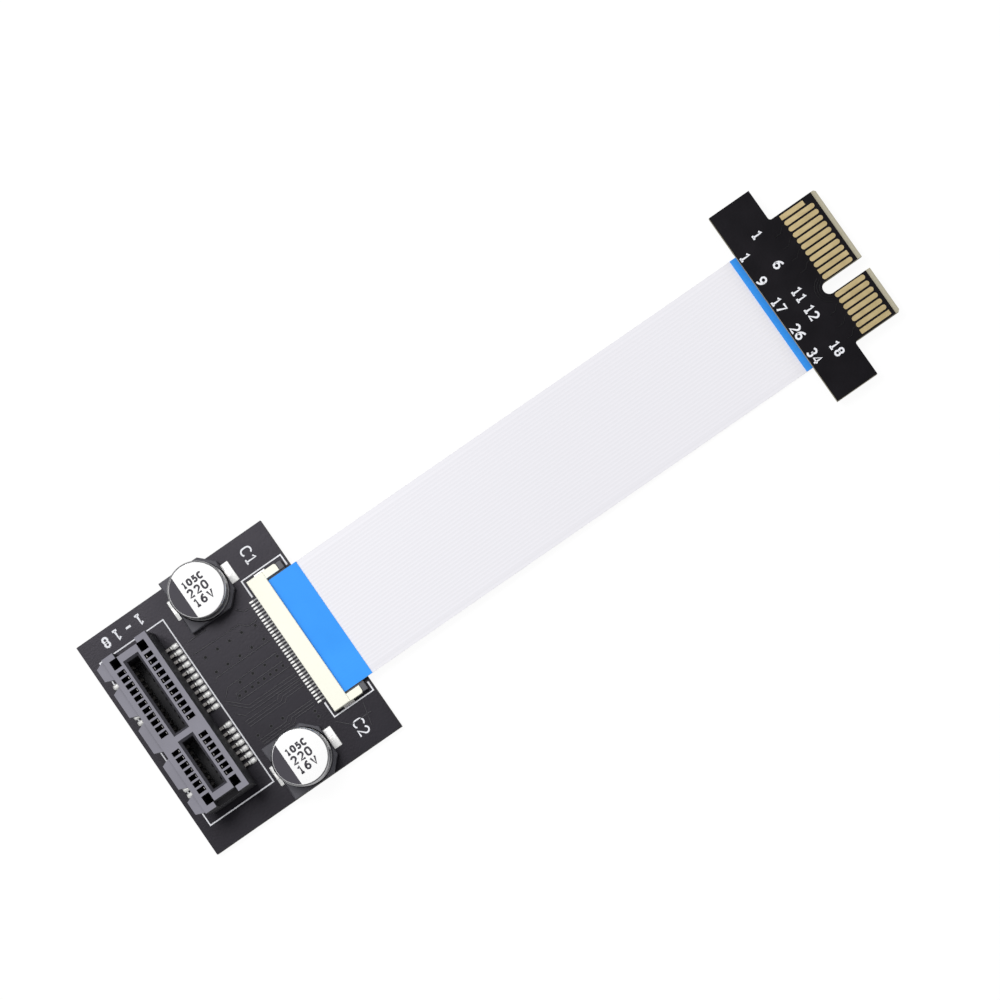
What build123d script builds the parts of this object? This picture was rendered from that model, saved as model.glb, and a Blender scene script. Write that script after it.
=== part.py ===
from build123d import *
import os

# Riser card: a socket board and a plug board joined by a flat ribbon cable.
# +X runs along the cable from the socket board to the plug board, +Z is up.
# The origin is on the cable's centre line, midway along the object, on the table.

# Card edge and contact spacing, shared by the socket and the plug
contact_pitch = 1.0
contacts_before_key = 11
contacts_after_key = 7
key_gap = 3.0
tab_side_margin = 0.65
card_thickness = 1.6
key_notch_width = 1.9

# Socket board
socket_board_length = 30.7
socket_board_width = 34.3
cable_axis_inset = 16.825

# Card socket
slot_height = 11.2
slot_width = 7.05
slot_end_margin = 3.0
slot_edge_inset_x = 2.95
slot_edge_inset_y = 4.55
groove_depth = 8.6
groove_face_clearance = 0.075
groove_side_clearance = 0.19
lead_in_depth = 0.7
lead_in_slope_degrees = 26.6
window_length = 1.2
window_width = 0.7
window_row_spacing = 4.4
blind_hole_width = 1.39
blind_hole_depth = 9.0
contact_wall_floor = 3.2
groove_rim = 1.0
foot_notch_width = 0.55
foot_notch_height = 1.15
end_recess_width = 3.6
end_recess_depth = 0.8
blind_recess_height = 4.0
ledge_width = 1.25
ledge_height = 1.6
ledge_drop = 0.35
ledge_notch_width = 1.1
ledge_notch_count = 4
ledge_notch_spacing = 5.85
ledge_end_inset = 0.2
ledge_chamfer = 0.5
peg_radius = 0.75
peg_length = 1.3
peg_hole_clearance = 0.05

# Socket contacts
slot_contact_width = 0.45
slot_contact_thickness = 0.2
foot_reach = 1.7
foot_length = 0.7
shoulder_reach = 0.55
shoulder_height = 0.85
knee_height = 3.0
bump_height = 8.2
bump_to_centre = 0.6
tip_height = 10.8
riser_gap = 0.1
tip_gap = 0.1

# Chip capacitors
can_radius = 4.0
capacitor_height = 6.2
can_edge_bevel = 0.4
can_bead_height = 2.3
can_bead_radius = 0.25
base_width = 8.3
base_height = 1.5
base_floor = 0.8
base_corner_cut = 1.9
base_socket_clearance = 0.05
capacitor_lead_width = 0.9
capacitor_lead_thickness = 0.2
capacitor_lead_reach = 0.55
capacitor_lead_gap = 1.6
capacitor_1_inset = (18.5, 3.5)
capacitor_2_inset_x = 17.3
capacitor_2_far_edge_inset = 4.15

# Ribbon cable
conductor_pitch = 0.5
conductor_count = 34
conductor_width = 0.3
conductor_thickness = 0.05
ribbon_width = 18.5
ribbon_thickness = 0.2
ribbon_free_length = 74.0
stiffener_thickness = 0.17
socket_stiffener_free_length = 4.6
plug_stiffener_free_length = 3.9
ribbon_insertion = 1.95
bared_length = 3.4

# Flat-cable connectors, the same on both boards
socket_connector_edge_inset = 3.7
plug_connector_edge_inset = 3.0
connector_bar_depth = 2.6
connector_height = 2.0
connector_floor = 0.35
connector_roof = 0.35
connector_back_wall = 0.31
connector_mouth_clearance = 0.15
connector_arm_length = 2.1
connector_arm_width = 1.1
connector_arm_height = 1.75
connector_arm_round = 0.35
ribbon_level = 0.95
fork_width = 0.2
fork_thickness = 0.15
fork_notch_clearance = 0.02
fork_riser = 0.2
fork_tail = 1.3
fork_lower_reach = 1.25
fork_upper_reach = 1.9
fork_bump_inset = 0.65
fork_bump_width = 0.3
anchor_thickness = 0.2
anchor_length = 1.7
anchor_height = 0.8
anchor_foot = 0.15

# Locking sliders
slider_clearance = 0.05
slider_thickness = 0.5
slider_tongue_reach = 0.85
slider_tongue_thickness = 0.2
slider_bar_depth = 0.75
slider_ear_height = 1.5
slider_ear_width = 1.1
slider_mouth_gap = 0.08
slider_shoulder = 0.15

# Plug board
plug_board_width = 30.6
plug_arm_depth = 6.6
plug_tab_length = 7.5
plug_upper_arm = 5.0
plug_cable_axis_inset = 15.5
key_notch_depth = 7.0
bevel_length = 0.7
bevel_drop = 0.33
tab_corner_cut = 0.25
tab_root_round = 0.4
edge_contact_width = 0.7
edge_contact_thickness = 0.05
edge_contact_back = 6.1
edge_contact_front = 1.25
edge_contact_short_front = 2.25
edge_contact_corner_cut = 0.2
square_contacts = (1, 10, 18)

# Sizes that follow from the driving dimensions above
contact_rows_length = (contacts_before_key + contacts_after_key - 2) * contact_pitch + key_gap
tab_width = contact_rows_length + 2 * tab_side_margin
slot_length = contact_rows_length + 2 * slot_end_margin
board_thickness = card_thickness
plug_board_length = plug_arm_depth + plug_tab_length
total_length = socket_board_length + ribbon_free_length + plug_board_length
socket_edge_back = -total_length / 2
socket_edge_front = socket_edge_back + socket_board_length
plug_edge_back = socket_edge_front + ribbon_free_length
plug_tip = plug_edge_back + plug_board_length
socket_edge_top = cable_axis_inset
capacitor_2_inset = (capacitor_2_inset_x, socket_board_width - capacitor_2_far_edge_inset)
plug_board_level = connector_height
mouth_width = ribbon_width + 2 * connector_mouth_clearance
slider_width = mouth_width + 2 * slider_shoulder
arm_inner = slider_width / 2 + slider_clearance
arm_outer = arm_inner + connector_arm_width
fork_row = [(i - (conductor_count - 1) / 2) * conductor_pitch for i in range(conductor_count)]


def block(x, y, z):
    """A rectangular solid between the low and high values given on each axis."""
    size = Box(x[1] - x[0], y[1] - y[0], z[1] - z[0])
    return Pos((x[0] + x[1]) / 2, (y[0] + y[1]) / 2, (z[0] + z[1]) / 2) * size


def side_profile(outline, width):
    """A closed outline of X and Z points, given a width along Y about the centre."""
    face = make_face(Polyline(*outline, close=True))
    return extrude(Plane.XZ * face, width / 2, both=True)


def strip_outline(path, thickness):
    """The outline of a bent strip: its centre line set off to both sides, with mitred bends."""
    points = [Vector(x, z) for x, z in path]
    runs = [(end - start).normalized() for start, end in zip(points, points[1:])]
    left, right = [], []
    for point, before, after in zip(points, runs[:1] + runs, runs + runs[-1:]):
        across = (before + after).normalized().rotate(Axis.Z, 90)
        reach = thickness / 2 / across.dot(before.rotate(Axis.Z, 90))
        left.append(tuple(point + across * reach)[:2])
        right.append(tuple(point - across * reach)[:2])
    return left + right[::-1]


def row_steps():
    """The distance of each card contact from the first one, with the gap for the key."""
    before = [i * contact_pitch for i in range(contacts_before_key)]
    after = [before[-1] + key_gap + i * contact_pitch for i in range(contacts_after_key)]
    return before + after


key_step = (contacts_before_key - 1) * contact_pitch + key_gap / 2
slot_top_y = socket_edge_top - slot_edge_inset_y
slot_centre_x = socket_edge_back + slot_edge_inset_x + slot_width / 2
slot_origin = Pos(slot_centre_x, slot_top_y, board_thickness)
slot_first_contact = -slot_end_margin
peg_inset = slot_end_margin / 2


# The socket's own frame: X from the groove's centre, Y from its end face, Z from the board
def slot_ledge():
    """The stepped rail along the outer wall, cut into lengths by notches with sloped ends."""
    wall = -slot_width / 2
    outside = wall - ledge_width
    notches_length = (ledge_notch_count - 1) * ledge_notch_spacing
    first_notch = -(slot_length - notches_length) / 2
    centres = [first_notch - i * ledge_notch_spacing for i in range(ledge_notch_count)]
    starts = [-ledge_end_inset] + [c - ledge_notch_width / 2 for c in centres]
    ends = [c + ledge_notch_width / 2 for c in centres] + [ledge_end_inset - slot_length]
    rail = []
    for start, end in zip(starts, ends):
        plan = Polyline(
            (wall, start),
            (outside, start - ledge_chamfer),
            (outside, end + ledge_chamfer),
            (wall, end),
            close=True,
        )
        underside = slot_height - ledge_drop - ledge_height
        rail.append(Pos(0, 0, underside) * extrude(make_face(plan), ledge_height))
    return rail


def groove_pocket(start, end):
    """One stretch of the card groove, with a sloped lead-in all round its mouth."""
    width = card_thickness + 2 * groove_face_clearance
    length = start - end
    middle = (start + end) / 2
    opening = Pos(0, middle, slot_height - groove_depth) * extrude(Rectangle(width, length), groove_depth)
    lead_in = Pos(0, middle, slot_height - lead_in_depth) * extrude(
        Rectangle(width, length), lead_in_depth, taper=-lead_in_slope_degrees
    )
    return [opening, lead_in]


def slot_housing():
    """The moulded card socket: windows, contact cavities, groove, end recesses and pegs."""
    half = slot_width / 2
    body = block((-half, half), (-slot_length, 0), (0, slot_height))
    for peg_y in (-peg_inset, peg_inset - slot_length):
        body += Pos(0, peg_y, -peg_length / 2) * Cylinder(peg_radius, peg_length)
    body += slot_ledge()

    key_y = slot_first_contact - key_step
    tab_start = slot_first_contact + tab_side_margin + groove_side_clearance
    tab_end = slot_first_contact - contact_rows_length - tab_side_margin - groove_side_clearance
    key_half = key_notch_width / 2 - groove_side_clearance
    cuts = groove_pocket(tab_start, key_y + key_half) + groove_pocket(key_y - key_half, tab_end)

    row = window_row_spacing / 2
    inner = row - window_length / 2
    outer = row + window_length / 2
    rim = slot_height - groove_rim
    for step in row_steps():
        y = slot_first_contact - step
        window = (y - window_width / 2, y + window_width / 2)
        notch = (y - foot_notch_width / 2, y + foot_notch_width / 2)
        for side in (1, -1):
            cuts.append(block(sorted((side * inner, side * outer)), window, (0, slot_height)))
            cuts.append(block(sorted((0, side * inner)), window, (contact_wall_floor, rim)))
            cuts.append(block(sorted((side * outer, side * half)), notch, (0, foot_notch_height)))
    for hole_y in (-slot_end_margin / 2, slot_end_margin / 2 - slot_length):
        for side in (1, -1):
            hole = Box(window_length, blind_hole_width, blind_hole_depth)
            cuts.append(Pos(side * row, hole_y, slot_height - blind_hole_depth / 2) * hole)
    recess = (-end_recess_width / 2, end_recess_width / 2)
    cuts.append(block(recess, (-end_recess_depth, 0), (0, slot_height)))
    shallow = (slot_height - blind_recess_height, slot_height)
    cuts.append(block(recess, (-slot_length, end_recess_depth - slot_length), shallow))
    return slot_origin * (body - cuts)


def slot_contacts(side):
    """One row of bent contacts: soldered foot, riser in its cavity, bump in the groove."""
    wall = slot_width / 2
    half = slot_contact_thickness / 2
    row = window_row_spacing / 2
    rim = slot_height - groove_rim
    riser = row + window_length / 2 - riser_gap - half
    tip = row - window_length / 2 + tip_gap + half
    path = [
        (wall + foot_reach, half),
        (wall + foot_reach - foot_length, half),
        (wall + shoulder_reach, shoulder_height),
        (riser, shoulder_height),
        (riser, knee_height),
        (bump_to_centre, bump_height),
        (tip, rim),
        (tip, tip_height),
    ]
    contact = side_profile(strip_outline(path, slot_contact_thickness), slot_contact_width)
    if side == -1:
        contact = mirror(contact, Plane.YZ)
    return [slot_origin * Pos(0, slot_first_contact - step, 0) * contact for step in row_steps()]


def socket_board():
    """The socket board with the two holes that take the socket's pegs."""
    edge = (socket_edge_top - socket_board_width, socket_edge_top)
    board = block((socket_edge_back, socket_edge_front), edge, (0, board_thickness))
    for peg_y in (-peg_inset, peg_inset - slot_length):
        hole = Cylinder(peg_radius + peg_hole_clearance, 2 * board_thickness)
        board -= slot_origin * Pos(0, peg_y, -board_thickness / 2) * hole
    return board


# Each capacitor's own frame: its axis at the centre, its leads along X, Z from the board
def capacitor_place(inset):
    """Where a capacitor stands, from its distances to the board's two edges."""
    return Pos(socket_edge_back + inset[0], socket_edge_top - inset[1], board_thickness)


def capacitor_base(inset):
    """The base plate: two cut corners, a round seat for the can, grooves for the leads."""
    half = base_width / 2
    cut = half - base_corner_cut
    plan = Polyline(
        (-half, -half),
        (cut, -half),
        (half, -cut),
        (half, cut),
        (cut, half),
        (-half, half),
        close=True,
    )
    plate = extrude(make_face(plan), base_height)
    seat = Cylinder(can_radius + base_socket_clearance, base_height)
    plate -= Pos(0, 0, base_floor + base_height / 2) * seat
    groove = Box(base_width, capacitor_lead_width, 2 * capacitor_lead_thickness)
    for side in (1, -1):
        plate -= Pos(side * (capacitor_lead_gap / 2 + half), 0, 0) * groove
    return capacitor_place(inset) * plate


def capacitor_can(inset):
    """The sealed can: a drawn cup with a rolled bead near the base and a bevelled top edge."""
    bead_deep = can_radius - can_bead_radius
    profile = Polyline(
        (0, base_floor),
        (can_radius, base_floor),
        (can_radius, can_bead_height - can_bead_radius),
        (bead_deep, can_bead_height),
        (can_radius, can_bead_height + can_bead_radius),
        (can_radius, capacitor_height - can_edge_bevel),
        (can_radius - can_edge_bevel, capacitor_height),
        (0, capacitor_height),
        close=True,
    )
    return capacitor_place(inset) * revolve(Plane.XZ * make_face(profile), Axis.Z)


def capacitor_leads(inset):
    """The two flat leads, folded out under the base."""
    tips = []
    for side in (1, -1):
        reach = sorted((side * capacitor_lead_gap / 2, side * (base_width / 2 + capacitor_lead_reach)))
        across = (-capacitor_lead_width / 2, capacitor_lead_width / 2)
        lead = block(reach, across, (0, capacitor_lead_thickness))
        tips.append(capacitor_place(inset) * lead)
    return tips


# The flat-cable connector's own frame: X from its mouth towards the cable, Z from the board
mouth_socket = socket_edge_front - socket_connector_edge_inset
mouth_plug = plug_edge_back + plug_connector_edge_inset
socket_connector = Pos(mouth_socket, 0, board_thickness)
plug_connector = Pos(mouth_plug, 0, plug_board_level) * Rot(0, 180, 0)
connector_back = -connector_bar_depth
cavity_back = connector_back + connector_back_wall
roof_level = connector_height - connector_roof
stack_top = ribbon_level + ribbon_thickness + stiffener_thickness


def connector_housing(place):
    """The ivory body: a bar with a wide cavity, a floor, two arms and a comb of notches."""
    arm_end = connector_arm_length
    body = block((connector_back, 0), (-arm_outer, arm_outer), (0, connector_height))
    body += block((0, arm_end), (-arm_inner, arm_inner), (0, connector_floor))
    for side in (1, -1):
        across = sorted((side * arm_inner, side * arm_outer))
        arm = block((0, arm_end), across, (0, connector_arm_height))
        tips = arm.edges().filter_by(Axis.Z).group_by(Axis.X)[-1]
        outer_tip = tips.sort_by(Axis.Y)[-1 if side == 1 else 0]
        body += fillet(outer_tip, connector_arm_round)
    cavity = (-mouth_width / 2, mouth_width / 2)
    cuts = [block((cavity_back, 0), cavity, (connector_floor, roof_level))]
    notch_half = fork_width / 2 + fork_notch_clearance
    notch_reach = cavity_back + fork_riser + fork_notch_clearance
    for y in fork_row:
        across = (y - notch_half, y + notch_half)
        cuts.append(block((connector_back, notch_reach), across, (0, connector_floor)))
    return place * (body - cuts)


def connector_slider(place):
    """The locking slider: a tongue under the cable, a plate between the arms, and ears."""
    low = connector_floor + slider_clearance
    high = low + slider_thickness
    front = connector_arm_length + slider_clearance
    tip = front + slider_bar_depth
    half = slider_width / 2
    tongue_half = mouth_width / 2 - slider_clearance
    outer = arm_outer - slider_clearance
    slider = block((slider_mouth_gap, front), (-half, half), (low, high))
    tongue = (-slider_tongue_reach, slider_mouth_gap)
    slider += block(tongue, (-tongue_half, tongue_half), (high - slider_tongue_thickness, high))
    slider += block((front, tip), (-outer, outer), (slider_clearance, high))
    for side in (1, -1):
        across = sorted((side * (outer - slider_ear_width), side * outer))
        slider += block((front, tip), across, (slider_clearance, slider_ear_height))
    return place * slider


def connector_contacts(place, bump_below):
    """The row of forked contacts, whose bump presses on the bared side of the cable."""
    tail = connector_back - fork_tail
    riser = cavity_back + fork_riser
    lower_end = riser + fork_lower_reach
    upper_end = riser + fork_upper_reach
    lower = connector_floor + fork_thickness
    upper = roof_level - fork_thickness
    bump = riser + fork_bump_inset
    bump_start = bump - fork_bump_width
    bump_end = bump + fork_bump_width
    outline = [(tail, 0), (riser, 0), (riser, connector_floor)]
    outline += [(lower_end, connector_floor), (lower_end, lower)]
    if bump_below:
        outline += [(bump_end, lower), (bump, ribbon_level), (bump_start, lower)]
    outline += [(riser, lower), (riser, upper)]
    if not bump_below:
        outline += [(bump_start, upper), (bump, stack_top), (bump_end, upper)]
    outline += [(upper_end, upper), (upper_end, roof_level), (cavity_back, roof_level)]
    outline += [(cavity_back, fork_thickness), (tail, fork_thickness)]
    fork = side_profile(outline, fork_width)
    return [place * Pos(0, y, 0) * fork for y in fork_row]


def connector_anchors(place):
    """The two folded solder anchors that hold the body's ends to the board."""
    anchors = []
    start = connector_back / 2
    for side in (1, -1):
        leaf_outside = arm_outer + anchor_thickness
        plan = [
            (side * arm_outer, 0),
            (side * (leaf_outside + anchor_foot), 0),
            (side * (leaf_outside + anchor_foot), anchor_thickness),
            (side * leaf_outside, anchor_thickness),
            (side * leaf_outside, anchor_height),
            (side * arm_outer, anchor_height),
        ]
        leaf = extrude(Plane.YZ * make_face(Polyline(*plan, close=True)), anchor_length)
        anchors.append(place * Pos(start, 0, 0) * leaf)
    return anchors


# The cable's levels: bared side down at both ends, backing film on top
socket_ribbon_low = board_thickness + ribbon_level
plug_ribbon_low = plug_board_level - stack_top
ribbon_start = mouth_socket - ribbon_insertion
ribbon_end = mouth_plug + ribbon_insertion
stiffener_socket_tip = mouth_socket + socket_stiffener_free_length
stiffener_plug_tip = mouth_plug - plug_stiffener_free_length
across_ribbon = (-ribbon_width / 2, ribbon_width / 2)


def ribbon_cable():
    """The flat cable: level under each stiffener, with a long gentle double bend between."""
    middle = ribbon_thickness / 2
    start_z = socket_ribbon_low + middle
    end_z = plug_ribbon_low + middle
    bend_start = (stiffener_socket_tip, start_z)
    bend_end = (stiffener_plug_tip, end_z)
    turning = ((bend_start[0] + bend_end[0]) / 2, (start_z + end_z) / 2)
    path = Line((ribbon_start, start_z), bend_start)
    path += TangentArc(bend_start, turning, tangent=(1, 0))
    path += TangentArc(bend_end, turning, tangent=(-1, 0))
    path += Line(bend_end, (ribbon_end, end_z))
    cable = extrude(Plane.XZ * trace(path, line_width=ribbon_thickness), ribbon_width / 2, both=True)
    bared = [
        block((ribbon_start, ribbon_start + bared_length), across_ribbon, bared_levels(socket_ribbon_low)),
        block((ribbon_end - bared_length, ribbon_end), across_ribbon, bared_levels(plug_ribbon_low)),
    ]
    return cable - bared


def bared_levels(low):
    """The thin layer under the cable where its lower film is stripped off."""
    return (low, low + conductor_thickness)


def ribbon_contacts(start, low):
    """The bared conductors at one end of the cable."""
    strips = []
    for y in fork_row:
        across = (y - conductor_width / 2, y + conductor_width / 2)
        strips.append(block((start, start + bared_length), across, bared_levels(low)))
    return strips


def stiffener(start, end, low):
    """The blue backing film on top of one end of the cable."""
    level = low + ribbon_thickness
    return block((start, end), across_ribbon, (level, level + stiffener_thickness))


# The plug board
plug_top_y = plug_cable_axis_inset
tab_back_x = plug_edge_back + plug_arm_depth
tab_top_y = plug_top_y - plug_upper_arm
tab_bottom_y = tab_top_y - tab_width
first_edge_contact_y = tab_top_y - tab_side_margin
notch_y = first_edge_contact_y - key_step


def plug_board():
    """The T-shaped board: rounded roots, round-ended key notch, cut corners, bevelled tip."""
    plan = Polyline(
        (plug_edge_back, plug_top_y),
        (tab_back_x, plug_top_y),
        (tab_back_x, tab_top_y),
        (plug_tip - tab_corner_cut, tab_top_y),
        (plug_tip, tab_top_y - tab_corner_cut),
        (plug_tip, tab_bottom_y + tab_corner_cut),
        (plug_tip - tab_corner_cut, tab_bottom_y),
        (tab_back_x, tab_bottom_y),
        (tab_back_x, plug_top_y - plug_board_width),
        (plug_edge_back, plug_top_y - plug_board_width),
        close=True,
    )
    face = make_face(plan)
    shoulder_corners = face.vertices().group_by(Axis.X)[1].sort_by(Axis.Y)
    face = fillet(shoulder_corners[1:-1], tab_root_round)
    notch_run = 2 * key_notch_depth - key_notch_width
    notch = Pos(plug_tip, notch_y) * SlotCenterToCenter(notch_run, key_notch_width)
    board = Pos(0, 0, plug_board_level) * extrude(face - notch, board_thickness)
    top = plug_board_level + board_thickness
    for level, drop in ((top, -bevel_drop), (plug_board_level, bevel_drop)):
        wedge = [(plug_tip - bevel_length, level), (plug_tip, level), (plug_tip, level + drop)]
        board -= Pos(0, (tab_top_y + tab_bottom_y) / 2, 0) * side_profile(wedge, tab_width)
    return board


def edge_contacts(top_face):
    """The gold contacts on one face of the tab; the outermost at the long end is shorter."""
    low = plug_board_level + board_thickness if top_face else plug_board_level - edge_contact_thickness
    fingers = []
    for number, step in enumerate(row_steps(), start=1):
        y = first_edge_contact_y - step
        front = edge_contact_short_front if number == 1 else edge_contact_front
        back_x = plug_tip - edge_contact_back
        length = edge_contact_back - front
        pad = Rectangle(length, edge_contact_width)
        if number not in square_contacts:
            pad = chamfer(pad.vertices(), edge_contact_corner_cut)
        fingers.append(Pos(back_x + length / 2, y, low) * extrude(pad, edge_contact_thickness))
    return fingers


nodes = {
    "socket_board": socket_board(),
    "slot_housing": slot_housing(),
    "slot_contacts_cable_side": slot_contacts(1),
    "slot_contacts_outer_side": slot_contacts(-1),
    "capacitor_1_base": capacitor_base(capacitor_1_inset),
    "capacitor_1_can": capacitor_can(capacitor_1_inset),
    "capacitor_1_leads": capacitor_leads(capacitor_1_inset),
    "capacitor_2_base": capacitor_base(capacitor_2_inset),
    "capacitor_2_can": capacitor_can(capacitor_2_inset),
    "capacitor_2_leads": capacitor_leads(capacitor_2_inset),
    "socket_connector_housing": connector_housing(socket_connector),
    "socket_connector_slider": connector_slider(socket_connector),
    "socket_connector_contacts": connector_contacts(socket_connector, bump_below=True),
    "socket_connector_anchors": connector_anchors(socket_connector),
    "ribbon_cable": ribbon_cable(),
    "ribbon_contacts_socket_end": ribbon_contacts(ribbon_start, socket_ribbon_low),
    "ribbon_contacts_plug_end": ribbon_contacts(ribbon_end - bared_length, plug_ribbon_low),
    "stiffener_socket_end": stiffener(ribbon_start, stiffener_socket_tip, socket_ribbon_low),
    "stiffener_plug_end": stiffener(stiffener_plug_tip, ribbon_end, plug_ribbon_low),
    "plug_connector_housing": connector_housing(plug_connector),
    "plug_connector_slider": connector_slider(plug_connector),
    "plug_connector_contacts": connector_contacts(plug_connector, bump_below=False),
    "plug_connector_anchors": connector_anchors(plug_connector),
    "plug_board": plug_board(),
    "edge_contacts_top": edge_contacts(top_face=True),
    "edge_contacts_bottom": edge_contacts(top_face=False),
}

os.makedirs("parts", exist_ok=True)
for name, shape in nodes.items():
    pieces = shape if isinstance(shape, list) else [shape]
    solids = [solid for piece in pieces for solid in piece.solids()]
    node = solids[0] if len(solids) == 1 else Compound(children=solids)
    export_step(node, f"parts/{name}.step")
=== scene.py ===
import math
import bmesh
import bpy
from mathutils import Matrix, Vector


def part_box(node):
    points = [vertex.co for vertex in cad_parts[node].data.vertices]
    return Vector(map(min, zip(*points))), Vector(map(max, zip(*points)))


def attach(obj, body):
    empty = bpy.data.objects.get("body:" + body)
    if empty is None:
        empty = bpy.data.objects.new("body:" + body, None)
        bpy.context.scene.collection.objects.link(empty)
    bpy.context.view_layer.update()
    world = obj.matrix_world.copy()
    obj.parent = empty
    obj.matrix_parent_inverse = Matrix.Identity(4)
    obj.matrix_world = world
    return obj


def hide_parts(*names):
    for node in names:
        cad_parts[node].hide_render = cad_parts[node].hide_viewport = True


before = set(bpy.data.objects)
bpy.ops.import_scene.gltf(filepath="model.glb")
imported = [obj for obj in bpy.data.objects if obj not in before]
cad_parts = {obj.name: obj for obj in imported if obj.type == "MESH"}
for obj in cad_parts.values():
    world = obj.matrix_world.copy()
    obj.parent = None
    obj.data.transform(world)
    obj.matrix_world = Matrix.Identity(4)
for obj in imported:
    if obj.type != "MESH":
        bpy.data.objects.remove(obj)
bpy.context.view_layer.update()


# Camera, table and lamps
# The riser card lies flat on a white table and is looked at from nearly straight above, a little
# from its -Y side. The page is turned so that the cable climbs to the right. The room is bright
# overhead, dim at the sides and dimmer in reflections. One broad lamp adds highlights and shadows.
mm = 0.001
page_turn = math.radians(34.8)
page_right = Vector((math.cos(page_turn), -math.sin(page_turn), 0))
page_up = Vector((math.sin(page_turn), math.cos(page_turn), 0))
camera_distance = 602 * mm
camera_tilt = math.radians(4.8)
camera_shift = page_up * 0.30 * mm - page_right * 0.32 * mm

bpy.ops.object.camera_add()
camera = bpy.context.object
facing = Matrix.Rotation(camera_tilt, 4, "X") @ Matrix.Rotation(-page_turn, 4, "Z")
camera.matrix_world = Matrix.Translation(camera_shift) @ facing @ Matrix.Translation((0, 0, camera_distance))
camera.data.lens = 158
camera.data.sensor_width = 36
camera.data.clip_start = 0.01
bpy.context.scene.camera = camera
bpy.context.scene.view_settings.view_transform = "Standard"


def add_node(tree, kind, inputs=None, **settings):
    """A new node. Each input is given a value, or the output that feeds it."""
    made = tree.nodes.new(kind)
    for name, value in settings.items():
        setattr(made, name, value)
    for name, value in (inputs or {}).items():
        if isinstance(value, bpy.types.NodeSocket):
            tree.links.new(value, made.inputs[name])
        else:
            made.inputs[name].default_value = value
    return made


def calculate(tree, operation, *values):
    """The result of one sum on values and outputs."""
    return add_node(tree, "ShaderNodeMath", dict(enumerate(values)), operation=operation).outputs[0]


def grey(value):
    """A neutral colour of that brightness."""
    return (value, value, value, 1)


def seen_directly(tree):
    """1 for what the camera sees, also through a clear material, 0 for light on surfaces."""
    path = add_node(tree, "ShaderNodeLightPath").outputs
    return calculate(tree, "MAXIMUM", path["Is Camera Ray"], path["Is Transmission Ray"])


# What the table gives back to the part, and then how the camera sees it
bounce_share = 0.22
bounce_glow = 0.25
seen_share = 0.1
seen_glow = 0.92

bpy.ops.mesh.primitive_plane_add(size=4)
table = bpy.context.object
table.name = "table"
white = bpy.data.materials.new("white_table")
white.use_nodes = True
tree = white.node_tree
tree.nodes.clear()
layers = []
for share, strength in ((bounce_share, bounce_glow), (seen_share, seen_glow)):
    diffuse = add_node(tree, "ShaderNodeBsdfDiffuse", {"Color": grey(share)}).outputs[0]
    glow = add_node(tree, "ShaderNodeEmission", {"Strength": strength}).outputs[0]
    layers.append(add_node(tree, "ShaderNodeAddShader", {0: diffuse, 1: glow}).outputs[0])
top = add_node(tree, "ShaderNodeMixShader", {0: seen_directly(tree), 1: layers[0], 2: layers[1]})
below = add_node(tree, "ShaderNodeNewGeometry").outputs["Backfacing"]
clear = add_node(tree, "ShaderNodeBsdfTransparent")
face = add_node(tree, "ShaderNodeMixShader", {0: below, 1: top.outputs[0], 2: clear.outputs[0]})
add_node(tree, "ShaderNodeOutputMaterial", {"Surface": face.outputs[0]})
table.data.materials.append(white)

overhead_light = 1.45
side_light = 0.1
reflected_share = 0.27
room = bpy.data.worlds.new("white_room")
bpy.context.scene.world = room
room.use_nodes = True
tree = room.node_tree
tree.nodes.clear()
towards = add_node(tree, "ShaderNodeTexCoord").outputs["Generated"]
climb = add_node(tree, "ShaderNodeSeparateXYZ", {0: towards}).outputs["Z"]
overhead = calculate(tree, "POWER", calculate(tree, "MAXIMUM", climb, 0.0), 3.0)
light = calculate(tree, "MULTIPLY_ADD", overhead, overhead_light, side_light)
glossy = add_node(tree, "ShaderNodeLightPath").outputs["Is Glossy Ray"]
share = add_node(tree, "ShaderNodeMix", {"Factor": glossy, 2: 1.0, 3: reflected_share}).outputs[0]
shared = calculate(tree, "MULTIPLY", light, share)
level = add_node(tree, "ShaderNodeMix", {"Factor": seen_directly(tree), 2: shared, 3: 1.0})
backdrop = add_node(tree, "ShaderNodeBackground", {"Color": (1, 1, 1, 1), "Strength": level.outputs[0]})
add_node(tree, "ShaderNodeOutputWorld", {"Surface": backdrop.outputs[0]})

lamp_place = page_up * 0.09 - page_right * 0.15 + Vector((0, 0, 0.5))
bpy.ops.object.light_add(type="AREA", location=lamp_place)
lamp = bpy.context.object
lamp.name = "broad_lamp"
lamp.data.size = 0.16
lamp.data.energy = 1.05
lamp.rotation_euler = (-lamp_place).to_track_quat("-Z", "Y").to_euler()


# Socket board
# A 1.6 mm glass-fibre board under black solder mask. Copper tracks and closed holes show as faint ridges and
# dimples through the mask, with painted shade in the mouth of each hole, and the outlines and C1 and C2 are
# white print.
board_low, board_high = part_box("socket_board")
board_edge_x = board_low.x
board_edge_y = board_high.y
board_top = board_high.z


def new_material(name, roughness=0.5, metallic=0.0, specular=0.5):
    """A material with its shader, its node tree and the piece's own coordinates."""
    material = bpy.data.materials.new(name)
    material.use_nodes = True
    tree = material.node_tree
    shader = tree.nodes["Principled BSDF"]
    shader.inputs["Roughness"].default_value = roughness
    shader.inputs["Metallic"].default_value = metallic
    shader.inputs["Specular IOR Level"].default_value = specular
    return material, tree, shader, add_node(tree, "ShaderNodeTexCoord").outputs["Object"]


def feed(tree, shader, name, output):
    """Feeds one of the shader's sockets."""
    tree.links.new(output, shader.inputs[name])


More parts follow.
